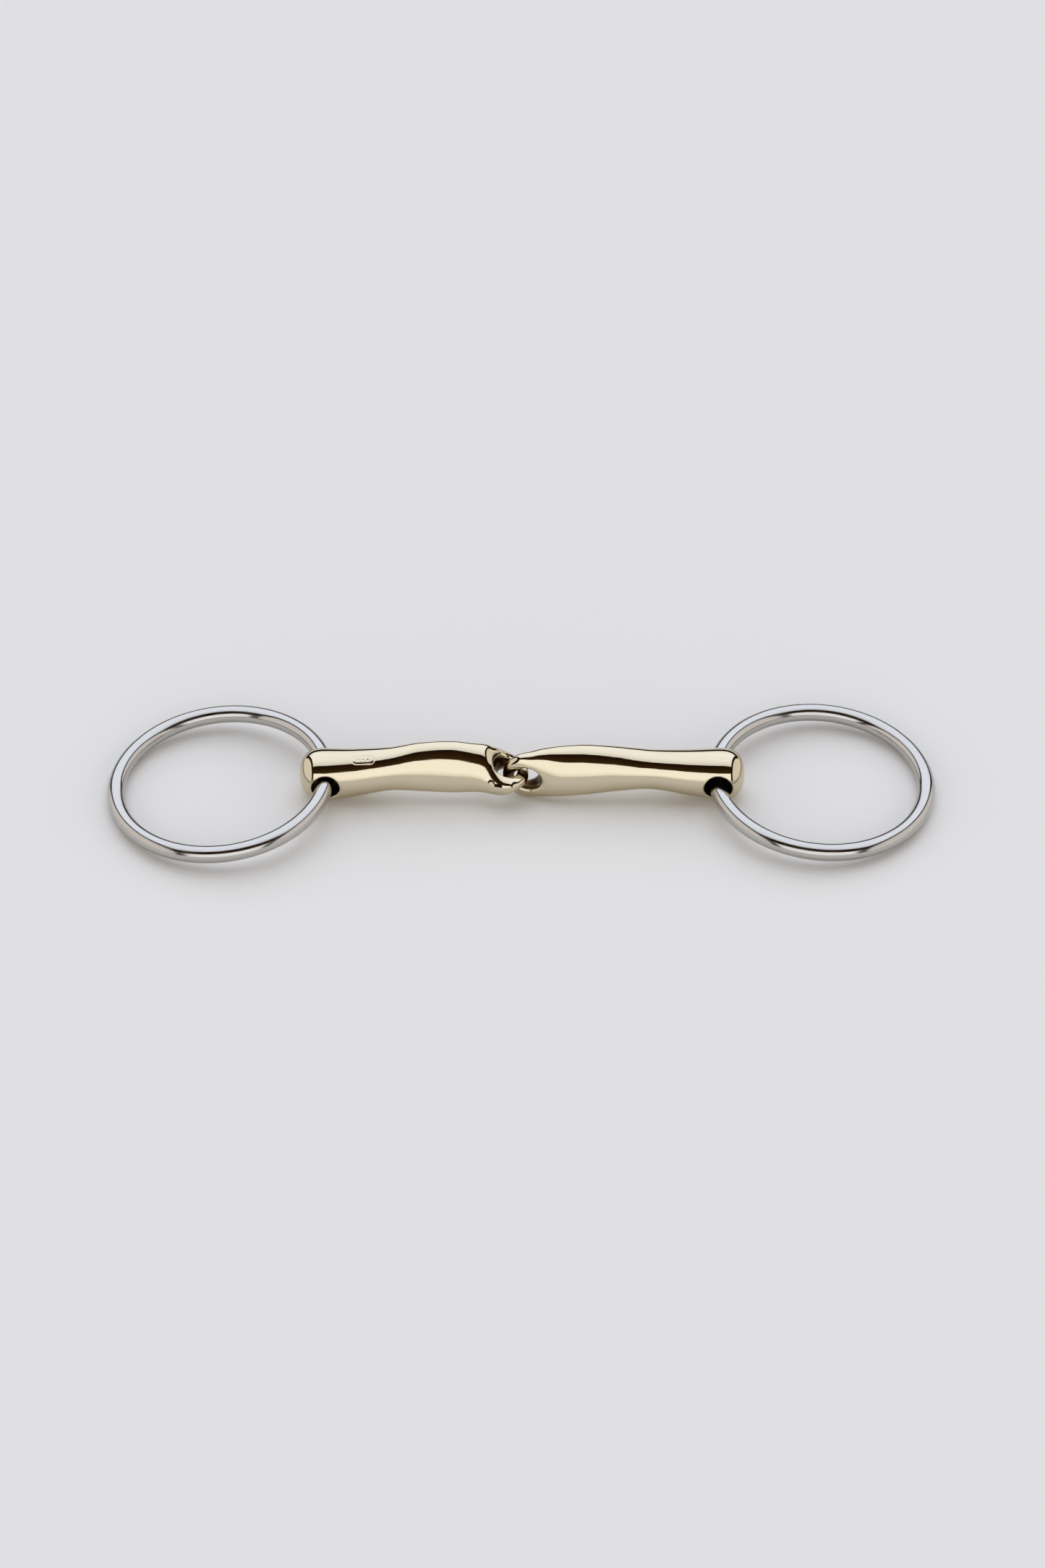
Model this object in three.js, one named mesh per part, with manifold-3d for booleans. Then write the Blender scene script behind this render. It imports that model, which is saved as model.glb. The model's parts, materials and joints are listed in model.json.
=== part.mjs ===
// Loose-ring snaffle bit with a single joint, lying on a table, in millimetres.
// +X runs from the left ring to the right one, +Z is up, and z = 0 is the table.
// Four pieces make it: two steel rings, and two bronze cannons whose eyes are linked in the middle.
import * as THREE from 'three';
import { mergeVertices } from 'three/addons/utils/BufferGeometryUtils.js';
import Module from 'manifold-3d';

const DEG = Math.PI / 180;
const MERGE_WITHIN = 1e-4;
const CUTTER_CLEARANCE = 1;

// The rings: round rod, bent and welded, 70 mm across the inside.
const RING_INSIDE = 70;
const ROD_RADIUS = 3.2;
const RING_RADIUS = RING_INSIDE / 2 + ROD_RADIUS;
const RING_CENTRE_X = 108.55;
const RING_STEPS = 72;
const ROD_SIDES = 12;
const LEFT_RING = { side: -1, centreY: -1, tilt: 5.2 * DEG };
const RIGHT_RING = { side: 1, centreY: 1, tilt: 3.85 * DEG };

// The cannons lie along x, this far behind the origin and above the table.
const AXIS_Y = 1;
const AXIS_Z = 9.45;
const BODY_STEPS = 56;
const BODY_SIDES = 28;

// The knob at the outer end: how far its dome reaches in, how thick it is, and how square its corner is.
const KNOB_DOME = 9.4;
const KNOB_HALF_DEPTH = 9.45;
const DOME_POWER = 2.6;
const BORE_RADIUS = 4.9;
const BORE_MOUTH_RADIUS = 6.6;
const BORE_ROUNDING = 2.2;
const BORE_STEPS = 4;

// The eye at the inner end: its hole narrows to a throat half way through. Its end bar is round,
// and the rim where the hole meets the swell is sharper.
const BAR_ROUNDING = 2;
const RIM_ROUNDING = 1;
const CUTTER_REACH = 1.25;
const EYE_STEPS = 32;
const EYE_LEVELS = 10;

// Each cannon's stations, from the knob to the eye. At each x: half the section's long and short
// axes, its squareness (2 is an ellipse), how far its centre rises, and how far its long axis leans back.
const LEFT = {
  side: -1,
  end: -80.05,
  bore: -70.65,
  hole: { from: -9.35, to: -1.5, halfWidth: 4.6 },
  tip: 2.85,
  tipReach: 8.4,
  stations: [
    { x: -70.65, long: 9.45, short: 9.3, power: 2, rise: 0, lean: 28 },
    { x: -60, long: 8.75, short: 7.9, power: 2, rise: 0.75, lean: 25 },
    { x: -47.3, long: 8, short: 6.2, power: 2, rise: 2.5, lean: 26 },
    { x: -36.9, long: 9, short: 5.3, power: 2, rise: 3.4, lean: 27 },
    { x: -25, long: 9.5, short: 5, power: 2, rise: 3.4, lean: 29 },
    { x: -16.5, long: 8.9, short: 5.1, power: 2, rise: 3, lean: 33 },
    { x: -12.6, long: 8.85, short: 5.1, power: 2.1, rise: 2.55, lean: 42 },
    { x: -9.35, long: 9, short: 5, power: 2.5, rise: 1.4, lean: 66 },
    { x: -5.5, long: 9.7, short: 3.8, power: 3, rise: 0.5, lean: 87 },
    { x: -1.2, long: 9.7, short: 2.6, power: 3, rise: 0.2, lean: 92 },
    { x: 2.85, long: 9.7, short: 2.4, power: 3, rise: 0.2, lean: 93 },
  ],
};
const RIGHT = {
  side: 1,
  end: 80.8,
  bore: 71.05,
  hole: { from: -2.5, to: 6.85, halfWidth: 4 },
  tip: -6.75,
  tipReach: 9.2,
  stations: [
    { x: 71.05, long: 9.45, short: 9.3, power: 2, rise: 0, lean: 30 },
    { x: 60, long: 8.3, short: 7.9, power: 2, rise: 0.85, lean: 34 },
    { x: 46.9, long: 7.3, short: 6.7, power: 2, rise: 2.3, lean: 34 },
    { x: 33.8, long: 8.4, short: 6.1, power: 2, rise: 2.5, lean: 25 },
    { x: 23.4, long: 9.35, short: 5.8, power: 2, rise: 2.1, lean: 25 },
    { x: 14, long: 9.5, short: 5.3, power: 2, rise: 1.3, lean: 22 },
    { x: 6.85, long: 9.4, short: 4.7, power: 2.2, rise: 0.6, lean: 12 },
    { x: 2.5, long: 9.2, short: 3.8, power: 2.5, rise: -0.15, lean: 6 },
    { x: -2.8, long: 9.2, short: 2.6, power: 2.8, rise: -0.3, lean: 5 },
    { x: -6.75, long: 9.2, short: 2.6, power: 2.8, rise: -0.3, lean: 5 },
  ],
};

const wasm = await Module();
wasm.setup();

function solidOf(geometry) {
  const bare = geometry.clone().deleteAttribute('normal').deleteAttribute('uv');
  const merged = mergeVertices(bare, MERGE_WITHIN);
  return new wasm.Manifold(new wasm.Mesh({
    numProp: 3,
    vertProperties: new Float32Array(merged.attributes.position.array),
    triVerts: new Uint32Array(merged.index.array),
  }));
}

function geometryOf(solid) {
  const mesh = solid.getMesh();
  const geometry = new THREE.BufferGeometry();
  geometry.setAttribute('position', new THREE.BufferAttribute(mesh.vertProperties, 3));
  geometry.setIndex(new THREE.BufferAttribute(mesh.triVerts, 1));
  return geometry;
}

// Moves every vertex of a geometry by a function of its old place.
function reshape(geometry, move) {
  const position = geometry.attributes.position;
  const point = new THREE.Vector3();
  for (let i = 0; i < position.count; i += 1) {
    point.fromBufferAttribute(position, i);
    move(point);
    position.setXYZ(i, point.x, point.y, point.z);
  }
  return geometry;
}

// Reads one measure of the stations at x, along a smooth curve through them.
function measure(stations, key, x) {
  const last = stations.length - 2;
  const away = Math.sign(stations[1].x - stations[0].x);
  let i = 0;
  while (i < last && (x - stations[i + 1].x) * away > 0) i += 1;
  const slope = (k) => {
    const before = stations[Math.max(k - 1, 0)];
    const after = stations[Math.min(k + 1, stations.length - 1)];
    return (after[key] - before[key]) / (after.x - before.x);
  };
  const [a, b] = [stations[i], stations[i + 1]];
  const width = b.x - a.x;
  const t = THREE.MathUtils.clamp((x - a.x) / width, 0, 1);
  const [t2, t3] = [t * t, t * t * t];
  return (2 * t3 - 3 * t2 + 1) * a[key] + (t3 - 2 * t2 + t) * width * slope(i)
    + (3 * t2 - 2 * t3) * b[key] + (t3 - t2) * width * slope(i + 1);
}

// How far x is into a rounded end: 1 at its tip, and 0 from its reach inwards.
function nearEnd(x, end, reach) {
  return Math.max(1 - Math.abs(x - end) / reach, 0);
}

// A turned blank of unit radius, squeezed to the stations' sections along the bent axis.
function bodyOf({ side, end, tip, tipReach, stations }) {
  const profile = [];
  for (let i = 0; i <= BODY_STEPS; i += 1) {
    const share = (1 - Math.cos((Math.PI * i) / BODY_STEPS)) / 2;
    const radius = i % BODY_STEPS ? 1 : 0;
    profile.push(new THREE.Vector2(radius, -side * (end + (tip - end) * share)));
  }
  return reshape(new THREE.LatheGeometry(profile, BODY_SIDES), (p) => {
    const x = -side * p.y;
    const at = (key) => measure(stations, key, x);
    const power = at('power');
    const knob = (1 - nearEnd(x, end, KNOB_DOME) ** DOME_POWER) ** (1 / DOME_POWER);
    const nose = nearEnd(x, tip, tipReach);
    const through = (1 - nose ** power) ** (1 / power) * Math.abs(p.x) ** (2 / power);
    const across = Math.sqrt(Math.max((1 - through ** power) ** (2 / power) - nose * nose, 0));
    const long = Math.sign(p.z) * across * knob * at('long');
    const short = -side * Math.sign(p.x) * through * knob * at('short');
    const lean = at('lean') * DEG;
    const y = AXIS_Y + long * Math.sin(lean) - short * Math.cos(lean);
    const z = AXIS_Z + at('rise') + long * Math.cos(lean) + short * Math.sin(lean);
    p.set(x, y, z);
  });
}

// The cutter for the eye's hole: an oval throat that flares to both sides round the bars.
function holeOf({ side, hole, stations }) {
  const middle = (hole.from + hole.to) / 2;
  const halfLength = (hole.to - hole.from) / 2;
  const lean = measure(stations, 'lean', middle) * DEG;
  const rise = measure(stations, 'rise', middle);
  const cutter = reshape(new THREE.CylinderGeometry(1, 1, 2, EYE_STEPS, EYE_LEVELS), (p) => {
    const level = p.y * CUTTER_REACH;
    const rounding = THREE.MathUtils.lerp(RIM_ROUNDING, BAR_ROUNDING, (1 - side * p.x) / 2);
    const flare = rounding * (1 - Math.sqrt(1 - Math.min(level * level, 1)));
    const x = p.x * (halfLength + flare);
    p.set(x, level * measure(stations, 'short', middle + x), p.z * (hole.halfWidth + flare));
  });
  return cutter.rotateX(-lean).translate(middle, AXIS_Y, AXIS_Z + rise);
}

// The cutter for the bore: a cylinder along y whose mouths open out.
function boreOf({ bore }) {
  const far = KNOB_HALF_DEPTH + CUTTER_CLEARANCE;
  const outline = [new THREE.Vector2(0, -far), new THREE.Vector2(BORE_MOUTH_RADIUS, -far)];
  for (let i = 0; i <= BORE_STEPS; i += 1) {
    const angle = (Math.PI / 2) * (i / BORE_STEPS);
    const radius = BORE_RADIUS + (BORE_MOUTH_RADIUS - BORE_RADIUS) * (1 - Math.sin(angle));
    outline.push(new THREE.Vector2(radius, -KNOB_HALF_DEPTH + BORE_ROUNDING * (1 - Math.cos(angle))));
  }
  const mirrored = outline.map((p) => new THREE.Vector2(p.x, -p.y)).reverse();
  return new THREE.LatheGeometry([...outline, ...mirrored], BODY_SIDES).translate(bore, AXIS_Y, AXIS_Z);
}

function cannon(name, design, material) {
  const body = solidOf(bodyOf(design));
  const whole = body.subtract(solidOf(holeOf(design))).subtract(solidOf(boreOf(design)));
  const mesh = new THREE.Mesh(geometryOf(whole), material);
  mesh.name = name;
  return mesh;
}

// A ring of the steel rod. It lies with its outer edge on the table and tilts up to its bore.
function ring(name, { side, centreY, tilt }, material) {
  const section = [];
  for (let i = 0; i <= ROD_SIDES; i += 1) {
    const angle = (i * 2 * Math.PI) / ROD_SIDES;
    section.push(new THREE.Vector2(RING_RADIUS + ROD_RADIUS * Math.cos(angle), ROD_RADIUS * Math.sin(angle)));
  }
  const geometry = new THREE.LatheGeometry(section, RING_STEPS).rotateX(Math.PI / 2);
  const mesh = new THREE.Mesh(geometry, material);
  mesh.name = name;
  mesh.position.set(side * RING_CENTRE_X, centreY, ROD_RADIUS + RING_RADIUS * Math.sin(tilt));
  mesh.rotation.y = side * tilt;
  return mesh;
}

const bronze = new THREE.MeshStandardMaterial({ color: 0xe6d3a8, roughness: 0.08, metalness: 1 });
const steel = new THREE.MeshStandardMaterial({ color: 0xc9cacc, roughness: 0.12, metalness: 1 });

const bit = new THREE.Group();
bit.add(cannon('left_cannon', LEFT, bronze));
bit.add(cannon('right_cannon', RIGHT, bronze));
bit.add(ring('left_ring', LEFT_RING, steel));
bit.add(ring('right_ring', RIGHT_RING, steel));

export default bit;
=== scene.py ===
import json
import math

import bmesh
import bpy
import numpy as np
from mathutils import Matrix, Vector


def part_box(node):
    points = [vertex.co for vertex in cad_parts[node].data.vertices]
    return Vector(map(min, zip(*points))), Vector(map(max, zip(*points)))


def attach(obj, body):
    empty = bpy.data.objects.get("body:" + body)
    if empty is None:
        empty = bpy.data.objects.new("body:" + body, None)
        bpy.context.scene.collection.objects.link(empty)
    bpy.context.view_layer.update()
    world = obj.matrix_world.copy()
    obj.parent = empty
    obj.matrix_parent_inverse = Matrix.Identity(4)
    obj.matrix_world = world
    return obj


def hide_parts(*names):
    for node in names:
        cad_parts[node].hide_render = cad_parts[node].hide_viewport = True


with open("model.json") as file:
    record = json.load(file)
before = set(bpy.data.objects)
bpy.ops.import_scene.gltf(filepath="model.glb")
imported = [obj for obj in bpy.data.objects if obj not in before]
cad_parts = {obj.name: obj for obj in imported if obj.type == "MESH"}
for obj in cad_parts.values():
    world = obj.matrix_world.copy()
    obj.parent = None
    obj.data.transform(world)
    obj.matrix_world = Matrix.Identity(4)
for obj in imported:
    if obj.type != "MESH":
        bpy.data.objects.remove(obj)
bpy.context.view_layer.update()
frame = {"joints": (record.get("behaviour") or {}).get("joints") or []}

# ------------------------------------------------------------------------------------------------
# The cannons: two bars of a pale gold copper alloy, each cast in one piece with its knob and its
# eye. The knob is drilled across for the ring, the mouths of the bore and the rims of the eye are
# rounded over by hand, and the whole is mirror polished.
# ------------------------------------------------------------------------------------------------
# Sizes are in millimetres, and MM turns them into metres.
MM = 0.001
KNOB_RADIUS = 9.45
KNOB_DOME = 9.4
DOME_POWER = 2.6
BORE_RADIUS = 4.9
BORE_MOUTH_RADIUS = 6.6
BORE_ROUNDING = 2.2
BAR_ROUNDING = 2.0
RIM_ROUNDING = 1.0
POLISHED_EDGE = 0.9
POLISHED_OFF = 0.02
RECESS_DEPTH = 4.0
STAMP_DEPTH = 0.09
STAMP_LINE = 0.28
STAMP_DOT = 0.42

# One row for each station along a cannon, from the low x to the high: x, half the section's long
# and short axes, its squareness (2 is an ellipse), its rise, and the long axis's lean in degrees.
LEFT_STATIONS = np.array([
    (-70.65, 9.45, 9.3, 2, 0, 28),
    (-60, 8.75, 7.9, 2, 0.75, 25),
    (-47.3, 8, 6.2, 2, 2.5, 26),
    (-36.9, 9, 5.3, 2, 3.4, 27),
    (-25, 9.5, 5, 2, 3.4, 29),
    (-16.5, 8.9, 5.1, 2, 3, 33),
    (-12.6, 8.85, 5.1, 2.1, 2.55, 42),
    (-9.35, 9, 5, 2.5, 1.4, 66),
    (-5.5, 9.7, 3.8, 3, 0.5, 87),
    (-1.2, 9.7, 2.6, 3, 0.2, 92),
    (2.85, 9.7, 2.4, 3, 0.2, 93),
])
RIGHT_STATIONS = np.array([
    (-6.75, 9.2, 2.6, 2.8, -0.3, 5),
    (-2.8, 9.2, 2.6, 2.8, -0.3, 5),
    (2.5, 9.2, 3.8, 2.5, -0.15, 6),
    (6.85, 9.4, 4.7, 2.2, 0.6, 12),
    (14, 9.5, 5.3, 2, 1.3, 22),
    (23.4, 9.35, 5.8, 2, 2.1, 25),
    (33.8, 8.4, 6.1, 2, 2.5, 25),
    (46.9, 7.3, 6.7, 2, 2.3, 34),
    (60, 8.3, 7.9, 2, 0.85, 34),
    (71.05, 9.45, 9.3, 2, 0, 30),
])

hinges = {joint["name"]: np.array(joint["pos_m"]) / MM for joint in frame["joints"]}


def measures(stations, x):
    """The section's five measures at each x, on smooth curves through the stations."""
    at, values = stations[:, 0], stations[:, 1:]
    before = np.maximum(np.arange(len(at)) - 1, 0)
    after = np.minimum(np.arange(len(at)) + 1, len(at) - 1)
    slopes = (values[after] - values[before]) / (at[after] - at[before])[:, None]
    i = np.clip(np.searchsorted(at, x) - 1, 0, len(at) - 2)
    width = (at[i + 1] - at[i])[:, None]
    t = np.clip((x - at[i])[:, None] / width, 0, 1)
    start = (2 * t**3 - 3 * t**2 + 1) * values[i] + (t**3 - 2 * t**2 + t) * width * slopes[i]
    end = (3 * t**2 - 2 * t**3) * values[i + 1] + (t**3 - t**2) * width * slopes[i + 1]
    return (start + end).T


def cut_away(solid, cutter):
    """The solid with the cutter taken out of it, and the edge that leaves rounded over."""
    near_edge = np.maximum(POLISHED_EDGE - np.abs(solid + cutter), 0)
    return np.maximum(solid, -cutter) + near_edge**2 / (4 * POLISHED_EDGE)


class Cannon:
    """One cannon's form: a distance in mm that is below zero inside the metal. The bore is a point
    on its axis, and the hole is where the eye's opening starts and stops and half its width."""

    def __init__(self, node, bore, stations, hole, tip_reach, stamp):
        low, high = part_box(node)
        self.side = np.sign(bore[0])
        self.low, self.high = np.array(low) / MM - 1, np.array(high) / MM + 1
        ends = (low.x / MM, high.x / MM)
        self.end, self.tip = ends if self.side < 0 else ends[::-1]
        self.bore, self.stations, self.hole = bore, stations, hole
        self.tip_reach, self.stamp = tip_reach, stamp

    def body(self, x, y, z):
        """The bar with its domed knob and its rounded tip, before anything is cut out of it."""
        long, short, power, rise, lean = measures(self.stations, x)
        lean = np.radians(lean)
        z = z - rise
        across = np.abs(y * np.sin(lean) + z * np.cos(lean)) / long
        through = np.abs(z * np.sin(lean) - y * np.cos(lean)) / short
        dome = np.maximum(1 + self.side * (x - self.end) / KNOB_DOME, 0)
        nose = np.maximum(1 - self.side * (x - self.tip) / self.tip_reach, 0)
        section = ((across**2 + nose**2) ** (power / 2) + through**power) ** (1 / power)
        return ((section**DOME_POWER + dome**DOME_POWER) ** (1 / DOME_POWER) - 1) * short

    def eye_hole(self, x, y, z):
        """The eye's opening, an oval that flares towards both faces of the eye."""
        start, stop, half_width = self.hole
        middle, half_length = (start + stop) / 2, (stop - start) / 2
        rise, lean = measures(self.stations, np.array([middle]))[3:, 0]
        lean = math.radians(lean)
        short = measures(self.stations, x)[1]
        across = y * math.sin(lean) + (z - rise) * math.cos(lean)
        level = ((z - rise) * math.sin(lean) - y * math.cos(lean)) / short
        inward = np.clip(self.side * (x - middle) / half_length, -1, 1)
        rounding = BAR_ROUNDING + (RIM_ROUNDING - BAR_ROUNDING) * (1 + inward) / 2
        flare = rounding * (1 - np.sqrt(1 - np.clip(level * level, 0, 1)))
        oval = np.hypot((x - middle) / (half_length + flare), across / (half_width + flare))
        return (oval - 1) * (half_width + flare)

    def ring_bore(self, x, y, z):
        """The bore that the ring runs through, with its rounded mouths."""
        depth = KNOB_RADIUS - np.abs(y)
        rim = np.clip(1 - depth / BORE_ROUNDING, 0, 1)
        radius = BORE_RADIUS + (BORE_MOUTH_RADIUS - BORE_RADIUS) * (1 - np.sqrt(1 - rim * rim))
        return np.hypot(x - self.bore[0], z) - radius

    def from_axis(self, points):
        """The points' x, and their y and z from the cannon's axis, which runs through the bore."""
        return points[:, 0], points[:, 1] - self.bore[1], points[:, 2] - self.bore[2]

    def __call__(self, points):
        x, y, z = self.from_axis(points)
        solid = self.body(x, y, z) + self.stamp(x, y, z) + POLISHED_OFF
        return cut_away(cut_away(solid, self.eye_hole(x, y, z)), self.ring_bore(x, y, z))


def stamp(at, facing, offset, outline, dots):
    """A maker's plain punch mark: a rounded outline, given as its half length and half height, and
    a row of dots. It is centred at x = at, on the side that faces this many degrees off upright."""
    lean = math.radians(facing)

    def pressed(x, y, z):
        along = x - at
        across = y * math.cos(lean) + z * math.sin(lean) - offset
        depth = np.zeros_like(along)
        for dot in dots:
            depth = np.maximum(depth, np.exp(-(np.hypot(along - dot, across) / STAMP_DOT) ** 2))
        if outline:
            half_length, half_height = outline
            past = np.maximum(np.abs(along) - (half_length - half_height), 0)
            from_line = np.hypot(past, across) - half_height
            depth = np.maximum(depth, np.exp(-((from_line / STAMP_LINE) ** 2)))
        outside = z * math.cos(lean) - y * math.sin(lean) > 0
        return STAMP_DEPTH * depth * outside

    return pressed


# The form is wrapped on a grid, then its vertices are settled onto the surface and evened out in
# turns. The stamp's faces are cut finer before the last settling.
GRID_STEP = 0.3
SLOPE_STEP = 0.02
LEAST_SLOPE_SQUARED = 0.05
FIRST_SETTLING = 4
EVENING_TURNS = 4
SETTLING_EACH_TURN = 2
STAMP_SETTLING = 3
STAMP_CUTS = 2
STAMP_EDGE = STAMP_DEPTH / 100


def slope(field, points):
    """Which way the field grows at each point, and how fast."""
    steps = np.eye(3) * SLOPE_STEP
    return np.stack([field(points + s) - field(points - s) for s in steps], 1) / (2 * SLOPE_STEP)


def settle(field, points, rounds):
    """Moves the points onto the form's surface."""
    for _ in range(rounds):
        grow = slope(field, points)
        steepness = np.maximum((grow * grow).sum(1), LEAST_SLOPE_SQUARED)
        move = grow * (field(points) / steepness)[:, None]
        points = points - np.clip(move, -GRID_STEP, GRID_STEP)
    return points


def skin(field):
    """Wraps the form in quads, with one vertex in each grid cell that its surface crosses."""
    axes = [np.arange(a, b + GRID_STEP, GRID_STEP) for a, b in zip(field.low, field.high)]
    grid = np.stack(np.meshgrid(*axes, indexing="ij"), -1)
    inside = field(grid.reshape(-1, 3)).reshape(grid.shape[:3]) < 0
    corners = sum(
        inside[i : i - 1 or None, j : j - 1 or None, k : k - 1 or None].astype(int)
        for i in (0, 1) for j in (0, 1) for k in (0, 1)
    )
    crossed = (corners > 0) & (corners < 8)
    number = np.full(crossed.shape, -1)
    number[crossed] = np.arange(crossed.sum())
    points = grid[:-1, :-1, :-1][crossed] + GRID_STEP / 2
    quads = []
    for axis in range(3):
        turn = (axis, (axis + 1) % 3, (axis + 2) % 3)
        solid, cell = inside.transpose(turn), number.transpose(turn)
        here, there = solid[:-1, 1:-1, 1:-1], solid[1:, 1:-1, 1:-1]
        i, j, k = np.nonzero(here != there)
        loop = [cell[i, j, k], cell[i, j + 1, k], cell[i, j + 1, k + 1], cell[i, j, k + 1]]
        quad = np.stack(loop, 1)
        quads.append(np.where(there[i, j, k][:, None], quad[:, ::-1], quad))
    return points, np.concatenate(quads)


def evened(points, quads):
    """Moves each vertex halfway to the middle of its neighbours."""
    total, count = np.zeros_like(points), np.zeros(len(points))
    for a, b in ((0, 1), (1, 2), (2, 3), (3, 0), (1, 0), (2, 1), (3, 2), (0, 3)):
        count += np.bincount(quads[:, a], minlength=len(points))
        for axis in range(3):
            total[:, axis] += np.bincount(quads[:, a], points[quads[:, b], axis], len(points))
    return (points + total / count[:, None]) / 2


def with_fine_stamp(mesh, middles, form):
    """Cuts the quads under the stamp into smaller ones, which can take its shape."""
    fine = bmesh.new()
    fine.from_mesh(mesh)
    fine.faces.ensure_lookup_table()
    marked = set()
    for index in np.nonzero(form.stamp(*form.from_axis(middles)) > STAMP_EDGE)[0]:
        marked.update(fine.faces[index].edges)
    bmesh.ops.subdivide_edges(fine, edges=list(marked), cuts=STAMP_CUTS, use_grid_fill=True)
    fine.to_mesh(mesh)
    fine.free()
    points = np.array([vertex.co for vertex in mesh.vertices]) / MM
    points = settle(form, points, STAMP_SETTLING)
    mesh.vertices.foreach_set("co", (points * MM).ravel())
    return points


def put(name, data):
    """Puts a mesh or a camera into the scene as an object."""
    item = bpy.data.objects.new(name, data)
    bpy.context.collection.objects.link(item)
    return item


def cast_cannon(name, node, form):
    """A cannon's skin with its stamp, its own normals, and how deep in a recess each point lies."""
    points, quads = skin(form)
    points = settle(form, points, FIRST_SETTLING)
    for _ in range(EVENING_TURNS):
        points = settle(form, evened(points, quads), SETTLING_EACH_TURN)
    mesh = bpy.data.meshes.new(name)
    mesh.from_pydata((points * MM).tolist(), [], quads.tolist())
    points = with_fine_stamp(mesh, points[quads].mean(1), form)
    recess = np.clip(-form.body(*form.from_axis(points)) / RECESS_DEPTH, 0, 1)
    mesh.attributes.new("recess", "FLOAT", "POINT").data.foreach_set("value", recess)
    outward = slope(form, points)
    outward /= np.linalg.norm(outward, axis=1)[:, None]
    mesh.shade_smooth()
    mesh.normals_split_custom_set_from_vertices(outward.tolist())
    mesh.materials.append(polished_gold_bronze)
    piece = put(name, mesh)
    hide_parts(node)
    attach(piece, node)
    return piece


def colour(code):
    """An sRGB hex colour as linear red, green, blue and alpha."""
    parts = [int(code[i : i + 2], 16) / 255 for i in (1, 3, 5)]
    return (*[p / 12.92 if p <= 0.04045 else ((p + 0.055) / 1.055) ** 2.4 for p in parts], 1)


def add(tree, kind, inputs=None, **settings):
    """Adds a node with its settings. An input is either a value or another node's output."""
    node = tree.nodes.new(kind)
    for key, value in settings.items():
        setattr(node, key, value)
    for key, value in (inputs or {}).items():
        if isinstance(value, bpy.types.NodeSocket):
            tree.links.new(value, node.inputs[key])
        else:
            node.inputs[key].default_value = value
    return node


def bare_material(name):
    """A new material and its empty node tree."""
    material = bpy.data.materials.new(name)
    material.use_nodes = True
    material.node_tree.nodes.clear()
    return material, material.node_tree


# Gold-coloured copper alloy, cast and mirror polished: a warm pale metal with crisp reflections,
# which fine buffing lines along the bar and the haze left by handling soften a little. The buffing
# wheel does not reach into the bore and the eye, where the metal stays dull, and a painted shade
# turns it darker brown the deeper it lies in the recess. Real buffing lines are finer than this,
# and are drawn wider so that they show at all.
BRIGHT_GOLD = "#DACFB7"
HAZY_GOLD = "#D5CAB0"
# The brown is painted shade, laid on the metal deeper in the bore and the eye.
BROWN_PAINTED_SHADE = "#4A3018"
BUFFING_LENGTH = 16.7
BUFFING_WIDTH = 0.667
BUFFING_DEPTH = 0.2
BUFFING_STRENGTH = 0.045
HAZE_PATCH = 11.1
# The part of a noise's range that is spread over the two roughnesses.
NOISE_LOW, NOISE_HIGH = 0.35, 0.75
MIRROR_ROUGHNESS, HAZE_ROUGHNESS = 0.05, 0.1
UNBUFFED_ROUGHNESS = 0.3
# How deep in a recess the painted shade and the dullness start and are full, as shares of RECESS_DEPTH.
SHADE_AND_DULL_FROM, SHADE_AND_DULL_FULL = 0.08, 0.55

polished_gold_bronze, tree = bare_material("polished_gold_bronze")
place = add(tree, "ShaderNodeTexCoord").outputs["Object"]
lengthwise = add(tree, "ShaderNodeMapping", {
    "Vector": place,
    "Scale": (1 / (BUFFING_LENGTH * MM), 1 / (BUFFING_WIDTH * MM), 1 / (BUFFING_WIDTH * MM)),
}).outputs[0]
buffing = add(tree, "ShaderNodeTexNoise", {"Vector": lengthwise, "Scale": 1, "Detail": 3}).outputs[0]
haze = add(tree, "ShaderNodeTexNoise", {
    "Vector": place, "Scale": 1 / (HAZE_PATCH * MM), "Detail": 5,
}).outputs[0]
recess = add(tree, "ShaderNodeAttribute", attribute_name="recess").outputs["Fac"]
# Painted shade in the recesses: this mask makes the metal brown and duller the deeper it lies in the
# bore and the eye.
painted_shade_and_dullness = add(tree, "ShaderNodeMapRange", {
    "Value": recess, "From Min": SHADE_AND_DULL_FROM, "From Max": SHADE_AND_DULL_FULL,
}).outputs[0]
gold = add(tree, "ShaderNodeMixRGB", {
    "Fac": haze, "Color1": colour(BRIGHT_GOLD), "Color2": colour(HAZY_GOLD),
}).outputs[0]
# The painted shade of the recesses is mixed into the gold here.
metal = add(tree, "ShaderNodeMixRGB", {
    "Fac": painted_shade_and_dullness, "Color1": gold, "Color2": colour(BROWN_PAINTED_SHADE),
}).outputs[0]
polish = add(tree, "ShaderNodeMapRange", {
    "Value": haze, "From Min": NOISE_LOW, "From Max": NOISE_HIGH,
    "To Min": MIRROR_ROUGHNESS, "To Max": HAZE_ROUGHNESS,
}).outputs[0]
dull = add(tree, "ShaderNodeMath", {
    0: painted_shade_and_dullness, 1: UNBUFFED_ROUGHNESS, 2: polish,
}, operation="MULTIPLY_ADD").outputs[0]
relief = add(tree, "ShaderNodeBump", {
    "Height": buffing, "Strength": BUFFING_STRENGTH, "Distance": BUFFING_DEPTH * MM,
}).outputs[0]
surface = add(tree, "ShaderNodeBsdfPrincipled", {
    "Base Color": metal, "Roughness": dull, "Metallic": 1, "Normal": relief,
}).outputs[0]
add(tree, "ShaderNodeOutputMaterial", {"Surface": surface})

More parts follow.
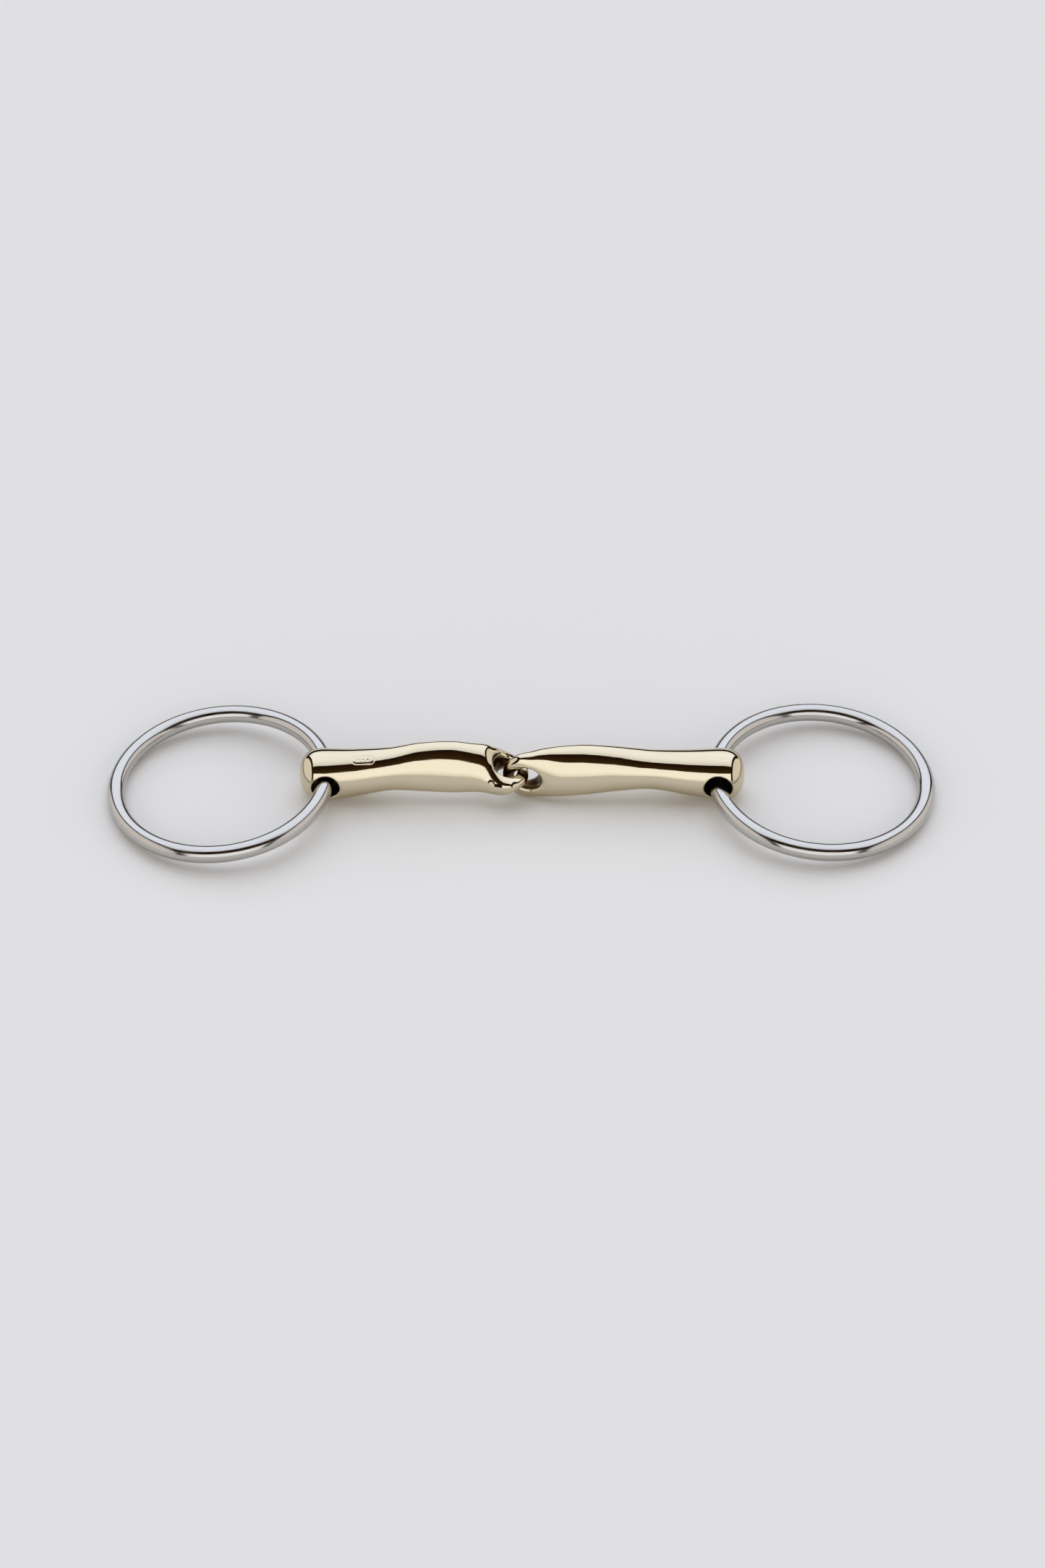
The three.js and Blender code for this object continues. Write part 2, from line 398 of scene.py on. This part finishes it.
# The left eye lies flat, and the right one stands on edge and passes through it.
left_form = Cannon(
    "left_cannon", hinges["left_ring_swing"], LEFT_STATIONS, hole=(-9.35, -1.5, 4.6), tip_reach=8.4,
    stamp=stamp(at=-57, facing=24, offset=1.4, outline=(3.9, 1.5), dots=(-1.7, 0, 1.7)),
)
right_form = Cannon(
    "right_cannon", hinges["right_ring_swing"], RIGHT_STATIONS, hole=(-2.5, 6.85, 4), tip_reach=9.2,
    stamp=stamp(at=53.3, facing=-3.5, offset=0.3, outline=None, dots=(-4.5, -2.7, -0.9, 0.9, 2.7, 4.5)),
)
cast_cannon("left_cannon_casting", "left_cannon", left_form)
cast_cannon("right_cannon_casting", "right_cannon", right_form)

# ------------------------------------------------------------------------------------------------
# The rings: stainless steel rod, 6.4 mm thick, bent round a mandrel through the cannon's bore,
# butt welded, and ground and polished flush, which leaves the rod a hair thinner at the weld.
# ------------------------------------------------------------------------------------------------
ROD_STOCK_RADIUS = 3.2
ROD_RADIUS = ROD_STOCK_RADIUS - POLISHED_OFF
RING_SIDES = 288
ROD_SIDES = 48
WELD_DIP = 0.05
WELD_WIDTH = 1.6
LEFT_WELD = math.radians(140)
RIGHT_WELD = math.radians(40)

# Stainless steel, polished on the bench: a neutral metal, less of a mirror than the cannons, with
# drawing lines along the rod and a haze from handling. The lines are drawn wider than real ones.
STEEL = "#C5C2BE"
DRAWN_LENGTH = 25
DRAWN_WIDTH = 0.833
DRAWN_DEPTH = 0.2
DRAWN_STRENGTH = 0.05
STEEL_HAZE_PATCH = 8.33
STEEL_ROUGHNESS, STEEL_HAZE_ROUGHNESS = 0.12, 0.22

polished_steel, tree = bare_material("polished_stainless_steel")
rod_map = add(tree, "ShaderNodeUVMap", uv_map="rod").outputs[0]
drawn = add(tree, "ShaderNodeMapping", {
    "Vector": rod_map, "Scale": (1 / (DRAWN_LENGTH * MM), 1 / (DRAWN_WIDTH * MM), 1),
}).outputs[0]
lines = add(tree, "ShaderNodeTexNoise", {"Vector": drawn, "Scale": 1, "Detail": 3}).outputs[0]
place = add(tree, "ShaderNodeTexCoord").outputs["Object"]
haze = add(tree, "ShaderNodeTexNoise", {
    "Vector": place, "Scale": 1 / (STEEL_HAZE_PATCH * MM), "Detail": 5,
}).outputs[0]
dull = add(tree, "ShaderNodeMapRange", {
    "Value": haze, "From Min": NOISE_LOW, "From Max": NOISE_HIGH,
    "To Min": STEEL_ROUGHNESS, "To Max": STEEL_HAZE_ROUGHNESS,
}).outputs[0]
relief = add(tree, "ShaderNodeBump", {
    "Height": lines, "Strength": DRAWN_STRENGTH, "Distance": DRAWN_DEPTH * MM,
}).outputs[0]
surface = add(tree, "ShaderNodeBsdfPrincipled", {
    "Base Color": colour(STEEL), "Roughness": dull, "Metallic": 1, "Normal": relief,
}).outputs[0]
add(tree, "ShaderNodeOutputMaterial", {"Surface": surface})


def bend_ring(name, node, side, weld_angle):
    """A ring of rod that fills its node's box, tilted about y, with its weld at this angle."""
    low, high = (np.array(corner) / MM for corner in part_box(node))
    centre = (low + high) / 2
    radius = (high[1] - low[1]) / 2 - ROD_STOCK_RADIUS
    tilt = math.asin(((high[2] - low[2]) / 2 - ROD_STOCK_RADIUS) / radius)
    around = np.arange(RING_SIDES) / RING_SIDES * 2 * math.pi
    across = np.arange(ROD_SIDES) / ROD_SIDES * 2 * math.pi
    u, v = (g.ravel() for g in np.meshgrid(around, across, indexing="ij"))
    from_weld = radius * (np.mod(u - weld_angle + math.pi, 2 * math.pi) - math.pi)
    rod = ROD_RADIUS - WELD_DIP * np.exp(-((from_weld / WELD_WIDTH) ** 2))
    out = radius + rod * np.cos(v)
    flat = np.stack([out * np.cos(u), out * np.sin(u), rod * np.sin(v)], 1)
    turn = np.array(Matrix.Rotation(side * tilt, 3, "Y"))
    points = flat @ turn.T + centre
    quads, spread = [], []
    for i in range(RING_SIDES):
        row, next_row = i * ROD_SIDES, (i + 1) % RING_SIDES * ROD_SIDES
        for j in range(ROD_SIDES):
            up = (j + 1) % ROD_SIDES
            quads.append([row + j, next_row + j, next_row + up, row + up])
            spread += [(i, j), (i + 1, j), (i + 1, j + 1), (i, j + 1)]
    mesh = bpy.data.meshes.new(name)
    mesh.from_pydata((points * MM).tolist(), [], quads)
    lengths = np.array(spread) * (radius / RING_SIDES, ROD_RADIUS / ROD_SIDES) * 2 * math.pi * MM
    mesh.uv_layers.new(name="rod").data.foreach_set("uv", lengths.ravel())
    mesh.shade_smooth()
    mesh.materials.append(polished_steel)
    piece = put(name, mesh)
    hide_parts(node)
    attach(piece, node)
    return piece


bend_ring("left_ring_rod", "left_ring", -1, LEFT_WELD)
bend_ring("right_ring_rod", "right_ring", 1, RIGHT_WELD)

# ------------------------------------------------------------------------------------------------
# The studio: a plain white table under a softbox that reaches from overhead to the far side, with
# a wall of light on the near side, duller walls to the left and right, and dark gaps between them.
# ------------------------------------------------------------------------------------------------
# The table is painted matt. Half its width is in metres.
TABLE_HALF = 6.0
TABLE_WHITE = "#FAF8F4"
TABLE_ROUGHNESS = 0.9

white_table, tree = bare_material("white_table")
surface = add(tree, "ShaderNodeBsdfPrincipled", {
    "Base Color": colour(TABLE_WHITE), "Roughness": TABLE_ROUGHNESS,
}).outputs[0]
add(tree, "ShaderNodeOutputMaterial", {"Surface": surface})
mesh = bpy.data.meshes.new("table")
corners = [(x * TABLE_HALF, y * TABLE_HALF, 0) for x, y in ((-1, -1), (1, -1), (1, 1), (-1, 1))]
mesh.from_pydata(corners, [], [(0, 1, 2, 3)])
mesh.materials.append(white_table)
table = put("table", mesh)

# The colour of the light at each angle, from the near horizon, over the top, to the far horizon.
NEAR_TO_FAR = [
    (0, "#CFCDCA"), (5, "#E2E2E2"), (12, "#EFEFF1"), (40, "#EDEEF1"),
    (42, "#3D2D1A"), (75, "#1E120A"),
    (77, "#CED1D6"), (100, "#E5EBF6"), (140, "#EAF0FD"), (160, "#E0E6F2"),
    (164, "#20160E"), (180, "#20160E"),
]
# The same for each share of the way out to the side: the softbox, a dark gap and a side wall.
GAP_FROM, GAP_TO = 0.55, 0.67
GAP_BLUR = 0.03
SIDE_WALL = colour("#CFCBC8")
GAP = colour("#20160E")
ROOM_LIGHT = 1.3

room = bpy.data.worlds.new("room")
bpy.context.scene.world = room
room.use_nodes = True
tree = room.node_tree
tree.nodes.clear()
facing = add(tree, "ShaderNodeTexCoord").outputs["Generated"]
towards = add(tree, "ShaderNodeSeparateXYZ", {"Vector": facing})
near = add(tree, "ShaderNodeMath", {0: towards.outputs["Y"], 1: -1}, operation="MULTIPLY").outputs[0]
angle = add(tree, "ShaderNodeMath", {0: towards.outputs["Z"], 1: near}, operation="ARCTAN2").outputs[0]
share = add(tree, "ShaderNodeMath", {0: angle, 1: math.pi}, operation="DIVIDE").outputs[0]
over = add(tree, "ShaderNodeValToRGB", {"Fac": share})
stops = over.color_ramp.elements
for _ in range(len(NEAR_TO_FAR) - len(stops)):
    stops.new(1)
for stop, (degrees, code) in zip(stops, NEAR_TO_FAR):
    stop.position = degrees / 180
    stop.color = colour(code)
out = add(tree, "ShaderNodeMath", {0: towards.outputs["X"]}, operation="ABSOLUTE").outputs[0]
light = over.outputs[0]
for edge, beyond in ((GAP_FROM, GAP), (GAP_TO, SIDE_WALL)):
    past = add(tree, "ShaderNodeMapRange", {
        "Value": out, "From Min": edge, "From Max": edge + GAP_BLUR,
    }).outputs[0]
    light = add(tree, "ShaderNodeMixRGB", {"Fac": past, "Color1": light, "Color2": beyond}).outputs[0]
glow = add(tree, "ShaderNodeBackground", {"Color": light, "Strength": ROOM_LIGHT}).outputs[0]
add(tree, "ShaderNodeOutputWorld", {"Surface": glow})

bpy.context.scene.view_settings.view_transform = "Standard"
bpy.context.scene.view_settings.look = "Medium High Contrast"

# ------------------------------------------------------------------------------------------------
# The camera: a long lens in front of the bit and well above the table, which looks at a point a
# little below the link between the eyes.
# ------------------------------------------------------------------------------------------------
# The distances to the object and to the farthest thing seen are in metres.
CAMERA_DISTANCE = 2.4
FARTHEST_SEEN = 50
CAMERA_ELEVATION = math.radians(41.5)
CAMERA_LENS = 152.2
SENSOR_WIDTH = 36
AIM_BELOW_LINK = 5.1

lens = bpy.data.cameras.new("camera")
lens.lens = CAMERA_LENS
lens.sensor_width = SENSOR_WIDTH
lens.clip_end = FARTHEST_SEEN
camera = put("camera", lens)
aim = Vector(hinges["mouth_fold"] - (0, 0, AIM_BELOW_LINK)) * MM
back = Vector((0, -math.cos(CAMERA_ELEVATION), math.sin(CAMERA_ELEVATION)))
camera.location = aim + back * CAMERA_DISTANCE
camera.rotation_euler = back.to_track_quat("Z", "Y").to_euler()
bpy.context.scene.camera = camera
